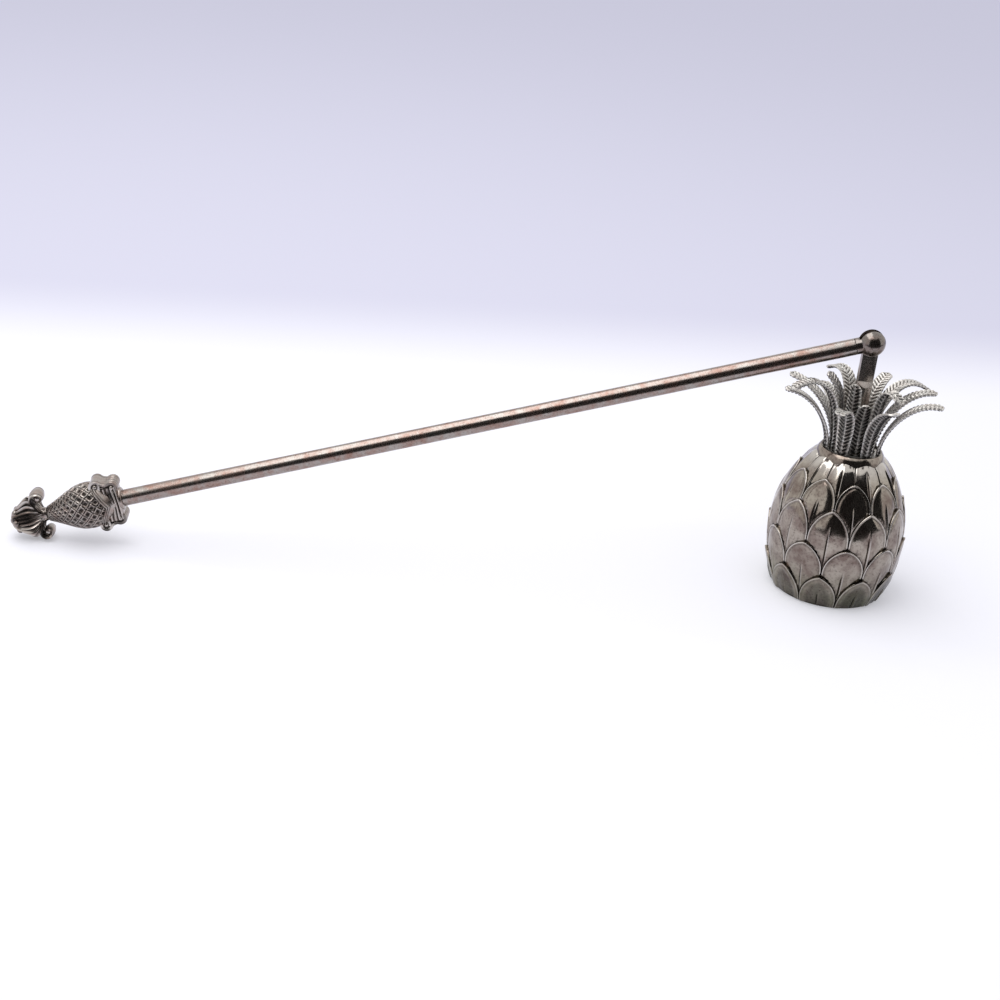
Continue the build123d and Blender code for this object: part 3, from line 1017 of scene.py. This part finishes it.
class SNUFFER_OT_finial_collar(bpy.types.Operator):
    """Build the finial's collar with its scrolls"""

    bl_idname = "snuffer.finial_collar"
    bl_label = "Finial collar"

    def execute(self, context):
        finial = context.scene.snuffer_finial
        body = lattice_outline()
        around = 96
        rows = 70
        # Corners of the hub in millimetres: radius, place from the collar's start and hollow mark, which
        # darkens its groove as dirt and painted shade
        hub = (
            (0.0, 0.0, 0.0), (3.0, 0.0, 0.0), (3.25, 0.2, 0.0), (3.3, 0.9, 0.0),
            (3.05, 1.1, 0.8), (3.05, 1.2, 0.8), (3.35, 1.4, 0.0), (3.4, 1.7, 0.0),
        )
        flare_start = collar_start + 1.7 * MM
        skirt_edge = 222.3 * MM
        point_reach = 3.5 * MM

        def body_radius(along):
            return body.at(body.length_to(along))[0].x

        def skirt_place(x, y):
            angle = math.pi * x
            edge = skirt_edge + point_reach * abs(math.cos(angle)) ** 1.2
            row = round((y + 1) / 2 * rows)
            if row < len(hub):
                radius, along, hollow = hub[row][0] * MM, collar_start + hub[row][1] * MM, hub[row][2]
            elif row < rows - 2:
                share = (row - len(hub) + 1) / (rows - 2 - len(hub))
                along = flare_start + (edge - flare_start) * share
                radius = (3.4 + 2.0 * (max(along - flare_start, 0) / (3.0 * MM)) ** 1.3) * MM
                if along > body_start - 1.8 * MM:
                    radius = min(radius, body_radius(along) + 0.30 * MM)
                to_edge = edge - along
                radius += 0.16 * MM * hump(to_edge, 0.18 * MM, 0.14 * MM)
                radius += 0.14 * MM * hump(to_edge, 0.75 * MM, 0.16 * MM)
                # Dark marks in the grooves near the skirt's edge: dirt and painted shade
                hollow = 0.9 * hump(to_edge, 0.46 * MM, 0.13 * MM)
                hollow = max(hollow, 0.6 * hump(to_edge, 1.15 * MM, 0.2 * MM))
            else:
                along = collar_start + 3.0 * MM if row == rows else edge
                radius = body_radius(edge) - 0.4 * MM if row == rows - 2 else 0.0
                # Under the skirt's edge: painted shade with dirt
                hollow = 0.9
            return round_the_rod(radius, along, angle), hollow

        skirt = formed("skirt", around, rows, skirt_place, merge, face_out)
        strap_height = 5.6 * MM
        squareness = 0.4

        def strap_place(x, y):
            angle = math.pi * x
            height = strap_height * y
            spread = smooth(abs(height), 0.6 * MM, 4.6 * MM)
            half = (2.15 + 0.55 * spread) * MM
            middle = (220.5 + 0.55 * spread) * MM
            along = signed_power(math.cos(angle), squareness)
            across = signed_power(math.sin(angle), squareness)
            rib = rib_wave(along)
            face = smooth(abs(across), 0.7, 0.95)
            out = (3.60 - 0.35 * spread + 0.2 * rib * face) * MM
            end = 1 - smooth(abs(y), 0.93, 1.0)
            place = side_point(middle + half * along * end, height, out * across * end)
            # Dark between the strap's ribs and light on their crests: dirt and painted shade, worn metal and
            # painted highlight
            return place, (smooth(-rib, 0.1, 0.9) - 0.4 * smooth(rib, 0.4, 1.0)) * face

        strap = formed("strap", 240, 44, strap_place, merge, face_out)
        pieces = [skirt, strap]

        rod_scroll = (219.75 * MM, 4.85 * MM)
        body_scroll = (224.25 * MM, 5.95 * MM)
        first = wound(rod_scroll, 1.1 * MM, 1.62 * MM, 380, 55)
        last = wound(body_scroll, 1.55 * MM, 1.1 * MM, 150, -210)
        path = Outline(first + joined_by(first, last, 0.7 * MM) + last)
        strip_width = 3.1 * MM
        strip_thickness = 1.4 * finial.roll
        core_reach = 2.7 * MM
        saddle_along = 221.9 * MM
        saddle_out = 3.9 * MM
        saddle_half = (2.9 * MM, 1.5 * MM)

        def relief(x, share):
            ribbed = 1 - smooth(share, 0.40, 0.52)
            rib = rib_wave(x)
            rim = hump(abs(x), 0.90, 0.07)
            height = -0.10 * MM * rib * ribbed - 0.10 * MM * rim * (1 - ribbed)
            # Dark in the scroll's grooves and between its ribs, light at its edges: dirt and painted shade,
            # worn metal and painted highlight
            groove = hump(abs(x), 0.74, 0.07) * (1 - ribbed) * 0.8
            hollow = max(groove, smooth(-rib, 0.1, 0.9) * ribbed * 0.85)
            return height, hollow - 0.4 * smooth(abs(x), 0.93, 0.97)

        # Saddles and cores are marked dark as painted shade deep in the scrolls, with dirt; the eyes are
        # light at their domed middles as a painted highlight with worn metal, and dark round their feet
        saddle = spindle((0, core_reach, 0.3), (1.0, core_reach, 0.3))
        eye = spindle((0, 3.35 * MM, -0.4), (0.45 * MM, 3.2 * MM, -0.2), (0.72 * MM, 2.85 * MM, 0.4))
        for side in (1, -1):
            strip = rolled_strip("scroll", path, side, lambda share: strip_width, relief, strip_thickness)
            pieces.append(strip)
            seat = across_the_rod(saddle_along, side * saddle_out, saddle_half[0], side * saddle_half[1])
            pieces.append(turned("saddle", saddle, 48, 12, seat))
            for centre, radius in ((rod_scroll, 1.55 * MM), (body_scroll, 1.45 * MM)):
                core = spindle((0, core_reach, 0.85), (radius, core_reach, 0.85))
                seat = across_the_rod(centre[0], side * centre[1])
                pieces.append(turned("core", core, 32, 12, seat))
                pieces.append(turned("eye", eye, 24, 25, seat))
        whole = join(pieces, "scrolled_collar")
        smooth_shading(whole, 50)
        dress(whole, "handle", ["finial_collar"], "finial_finish")
        return {"FINISHED"}


class SNUFFER_OT_finial_crown(bpy.types.Operator):
    """Build the finial's ribbed bud and its two curled leaves"""

    bl_idname = "snuffer.finial_crown"
    bl_label = "Finial crown"

    def execute(self, context):
        finial = context.scene.snuffer_finial
        swell = drawn(
            ((0, 239.9 * MM), (1.2 * MM, 239.9 * MM), (1.9 * MM, 239.9 * MM), (1.9 * MM, 240.4 * MM)),
            ((1.9 * MM, 240.4 * MM), (1.9 * MM, 242.4 * MM), (4.0 * MM, 243.0 * MM), (4.0 * MM, 245.8 * MM)),
            ((4.0 * MM, 245.8 * MM), (4.0 * MM, 248.4 * MM), (2.0 * MM, 250.7 * MM), (0, 250.7 * MM)),
        )

        def bud_place(x, y):
            angle = math.pi * x
            point, out = swell.at(swell.length * (y + 1) / 2)
            grow = smooth(point.y, 240.6 * MM, 245.0 * MM) * smooth(point.x, 0.3 * MM, 2.4 * MM)
            ridge = (1 - abs(math.sin(angle * finial.ribs / 2))) ** 1.8
            depth = (ridge - 0.35) * 0.6 * MM * grow
            fan = 1 + 0.46 * hump(point.y, 244.4 * MM, 2.4 * MM) * math.cos(angle) ** 2
            # Dark between the bud's ribs and light on their crests: dirt and painted shade, worn metal and
            # painted highlight
            hollow = smooth(0.38 - ridge, 0.0, 0.3) * (0.25 + 0.75 * grow) - 0.6 * smooth(ridge, 0.5, 0.95)
            radius = max(point.x + out.x * depth, 0) * fan
            return round_the_rod(radius, point.y + out.y * depth, angle), hollow

        bud = formed("bud", finial.ribs * 12, 90, bud_place, merge, face_out)
        knobs = 6
        knob_ring = 2.9 * MM
        knob_radius = 1.05 * MM
        tip_place = 250.2 * MM
        ring_place = 248.8 * MM
        pieces = [bud, bead("tip_knob", tip_place, 0, 0, knob_radius)]
        for number in range(knobs):
            angle = math.tau * (number + 0.5) / knobs
            out = knob_ring * math.cos(angle)
            pieces.append(bead("knob", ring_place, out, knob_ring * math.sin(angle), knob_radius))
        curl_place = 241.3 * MM
        root = [Vector((239.9 * MM, 0.9 * MM)), Vector((240.6 * MM, 1.0 * MM))]
        # The bosses are light at their domed middles and dark round their feet: painted highlight and shade,
        # with worn metal and dirt
        boss = spindle((0, 2.3 * MM, -0.3), (0.6 * MM, 2.15 * MM, 0.0), (1.0 * MM, 1.7 * MM, 0.5))

        def relief(x, share):
            fade = 1 - smooth(share, 0.45, 0.62)
            rib = rib_wave(x)
            rim = hump(abs(x), 0.90, 0.08)
            height = 0.13 * MM * rib * fade + 0.10 * MM * rim - 0.5 * MM * x * x * smooth(share, 0.1, 0.3)
            # Dark in the curls' grooves, between their ribs and towards their rolled ends; light on rims and
            # rib crests: dirt and painted shade, worn metal and painted highlight
            groove = 0.8 * hump(abs(x), 0.74, 0.08) * (1 - fade)
            hollow = max(groove, smooth(-rib, 0.0, 0.9) * fade * 0.95, smooth(share, 0.76, 0.88) * 0.5)
            return height, hollow - 0.5 * max(rim, smooth(rib, 0.5, 1.0) * fade) * (1 - hollow)

        def wide(share):
            return (1.7 + 1.5 * smooth(share, 0.02, 0.22) - 1.2 * smooth(share, 0.50, 0.95)) * MM

        for side, middle, size in ((1, 5.7 * MM, 2.5 * MM), (-1, 4.95 * MM, 2.3 * MM)):
            curl = wound((curl_place, middle), size, 0.7 * MM, -50, 385)
            path = Outline(root + joined_by(root, curl, 1.3 * MM) + curl)
            pieces.append(rolled_strip("curl", path, side, wide, relief, finial.roll, rows=190))
            pieces.append(turned("boss", boss, 24, 25, across_the_rod(curl_place, side * middle)))
        whole = join(pieces, "ribbed_crown")
        smooth_shading(whole, 50)
        dress(whole, "handle", ["finial_crown"], "finial_finish")
        return {"FINISHED"}


class SNUFFER_OT_hinge(bpy.types.Operator):
    """Soften the edges of the post and the slotted ball"""

    bl_idname = "snuffer.hinge"
    bl_label = "Hinge"

    def execute(self, context):
        for node, body, material, slot in (("hinge_post", "bell", "post_finish", "post_plate"),
                                           ("knuckle_ball", "handle", "knuckle_finish", "knuckle_plate")):
            piece = bpy.data.objects.new(f"soft_{node}", frame["nodes"][node].data.copy())
            context.scene.collection.objects.link(piece)
            edit(piece, merge, lambda: bpy.ops.mesh.dissolve_limited(angle_limit=math.radians(1)))
            apply_modifier(piece, "BEVEL", width=0.12 * MM, segments=2, limit_method="ANGLE",
                           angle_limit=math.radians(40))
            smooth_shading(piece, 40)
            dress(piece, body, [node], material)
        return {"FINISHED"}


class SNUFFER_OT_stage(bpy.types.Operator):
    """Build the floor, the light and the camera"""

    bl_idname = "snuffer.stage"
    bl_label = "Stage"

    def execute(self, context):
        scene = context.scene
        stage = scene.snuffer_stage
        deselect()
        bpy.ops.mesh.primitive_plane_add(size=8.0, location=(0, 0, -0.05 * MM))
        floor = context.active_object
        floor.name = "table"
        finish = Finish("table_top")
        place = finish.coordinates()
        slant = 0.07
        fade_start = 0.155
        fade_end = 0.265
        away = finish.axis(place, 1) - finish.axis(place, 0) * slant
        far = finish.node("ShaderNodeMapRange", {"interpolation_type": "SMOOTHSTEP"},
                          {0: away, 1: fade_start, 2: fade_end, 3: 0.0, 4: 1.0})
        tint = finish.mix(far, stage.floor, stage.far_floor)
        finish.set(Base_Color=tint, Roughness=0.9, Specular_IOR_Level=0.0)
        glow = finish.node("ShaderNodeEmission", None, {"Color": tint, "Strength": 1.0})
        lit = Value(finish, finish.shader.outputs[0])
        glow_share = finish.node("ShaderNodeLightPath") * 0.3
        blend = finish.node("ShaderNodeMixShader", None, {0: glow_share, 1: lit, 2: glow})
        finish.fill(finish.nodes["Material Output"].inputs[0], blend)
        floor.data.materials.append(finish.material)

        dark = Finish("dark_screen")
        dark.set(Base_Color=(0.05, 0.05, 0.046), Roughness=1.0, Specular_IOR_Level=0.0)
        screen = new_grid("dark_screen", 40, 4)
        apron = new_grid("dark_apron", 1, 1)
        screen_distance = 1.3
        half_height = 0.8
        screen_middle = 281.5
        screen_spread = 50.5
        apron_middle = (0.45, -0.8325)
        apron_half = (1.05, 0.6675)
        apron_height = 1 * MM

        def curved(x, y):
            angle = math.radians(screen_middle + screen_spread * x)
            return upright(screen_distance, half_height + half_height * y, angle), 0.0

        def flat(x, y):
            place = [middle + half * share for middle, half, share in zip(apron_middle, apron_half, (x, y))]
            return Vector((*place, apron_height)), 0.0

        for card, rule in ((screen, curved), (apron, flat)):
            shape(card, rule)
            card.data.materials.append(dark.material)
            card.visible_camera = False
            card.visible_diffuse = False
            card.visible_shadow = False

        # The room is white where the camera or a reflection sees it, and its light is softer
        world = bpy.data.worlds.new("soft_room")
        scene.world = world
        room = Tree(world)
        shown = room.node("ShaderNodeBackground", None, {0: (1.0, 1.0, 1.0), 1: 1.0})
        soft = room.nodes["Background"]
        room.fill(soft.inputs[0], (0.90, 0.90, 1.0))
        room.fill(soft.inputs[1], stage.sky)
        kinds = ("Camera", "Glossy", "Transmission")
        rays = [room.node("ShaderNodeLightPath", output=f"Is {kind} Ray") for kind in kinds]
        seen = rays[0].at_least(rays[1]).at_least(rays[2])
        blend = room.node("ShaderNodeMixShader", None, {0: seen, 1: Value(room, soft.outputs[0]), 2: shown})
        room.fill(room.nodes["World Output"].inputs[0], blend)

        bpy.ops.object.light_add(type="AREA", location=(-0.32, 0.02, 0.74))
        key = context.active_object
        key.name = "overhead_light"
        key.data.shape = "RECTANGLE"
        key.data.size = 0.9
        key.data.size_y = 0.5
        key.data.energy = stage.key
        aim = Vector((-0.1, 0, 0.03))
        key.rotation_euler = (aim - key.location).to_track_quat("-Z", "Y").to_euler()

        bpy.ops.object.camera_add()
        camera = context.active_object
        camera.name = "photo_camera"
        place = Vector((-0.148584, -0.449224, 0.223156))
        forward = Vector((0.09671, 0.90749, -0.40880))
        right = Vector((0.99337, -0.06233, 0.09662))
        up = right.cross(forward)
        turn = Matrix((right, up, -forward)).transposed()
        camera.matrix_world = Matrix.Translation(place) @ turn.to_4x4()
        camera.data.sensor_width = 36.0
        camera.data.lens = 61.2
        camera.data.clip_start = 0.01
        scene.camera = camera
        scene.view_settings.view_transform = "Standard"
        return {"FINISHED"}


class SNUFFER_PT_panel(bpy.types.Panel):
    """The snuffer's pieces"""

    bl_label = "Candle snuffer"
    bl_space_type = "VIEW_3D"
    bl_region_type = "UI"
    bl_category = "Snuffer"

    def draw(self, context):
        for operator in operators:
            self.layout.operator(operator.bl_idname)
        for group in groups:
            settings = getattr(context.scene, groups[group])
            for name in group.__annotations__:
                self.layout.prop(settings, name)


groups = {
    SnufferBell: "snuffer_bell",
    SnufferLeaves: "snuffer_leaves",
    SnufferFinial: "snuffer_finial",
    SnufferFinishes: "snuffer_finishes",
    SnufferStage: "snuffer_stage",
}
operators = (
    SNUFFER_OT_finishes,
    SNUFFER_OT_bell,
    SNUFFER_OT_leaves,
    SNUFFER_OT_rod,
    SNUFFER_OT_finial_body,
    SNUFFER_OT_finial_collar,
    SNUFFER_OT_finial_crown,
    SNUFFER_OT_hinge,
    SNUFFER_OT_stage,
)


def register():
    """Add the settings, the operators and the panel."""
    for group, name in groups.items():
        bpy.utils.register_class(group)
        setattr(bpy.types.Scene, name, PointerProperty(type=group))
    for item in (*operators, SNUFFER_PT_panel):
        bpy.utils.register_class(item)


def unregister():
    """Take away what register added."""
    for item in reversed((*operators, SNUFFER_PT_panel)):
        bpy.utils.unregister_class(item)
    for group, name in groups.items():
        delattr(bpy.types.Scene, name)
        bpy.utils.unregister_class(group)


# Finishes of the solids that show as they are
carried_finishes = {
    "crown_base": "leaf_finish",
    "post_washer": "fastener_finish",
    "post_nut": "fastener_finish",
    "hinge_pin": "knuckle_finish",
    "finial_stud": "fastener_finish",
}


def main():
    """Build the scene."""
    register()
    bpy.ops.snuffer.finishes()
    for node, finish in carried_finishes.items():
        for place in frame["nodes"][node].material_slots:
            place.material = bpy.data.materials[finish]
    bpy.ops.snuffer.bell()
    bpy.ops.snuffer.leaves()
    bpy.ops.snuffer.rod()
    bpy.ops.snuffer.finial_body()
    bpy.ops.snuffer.finial_collar()
    bpy.ops.snuffer.finial_crown()
    bpy.ops.snuffer.hinge()
    bpy.ops.snuffer.stage()


if __name__ == "__main__":
    main()
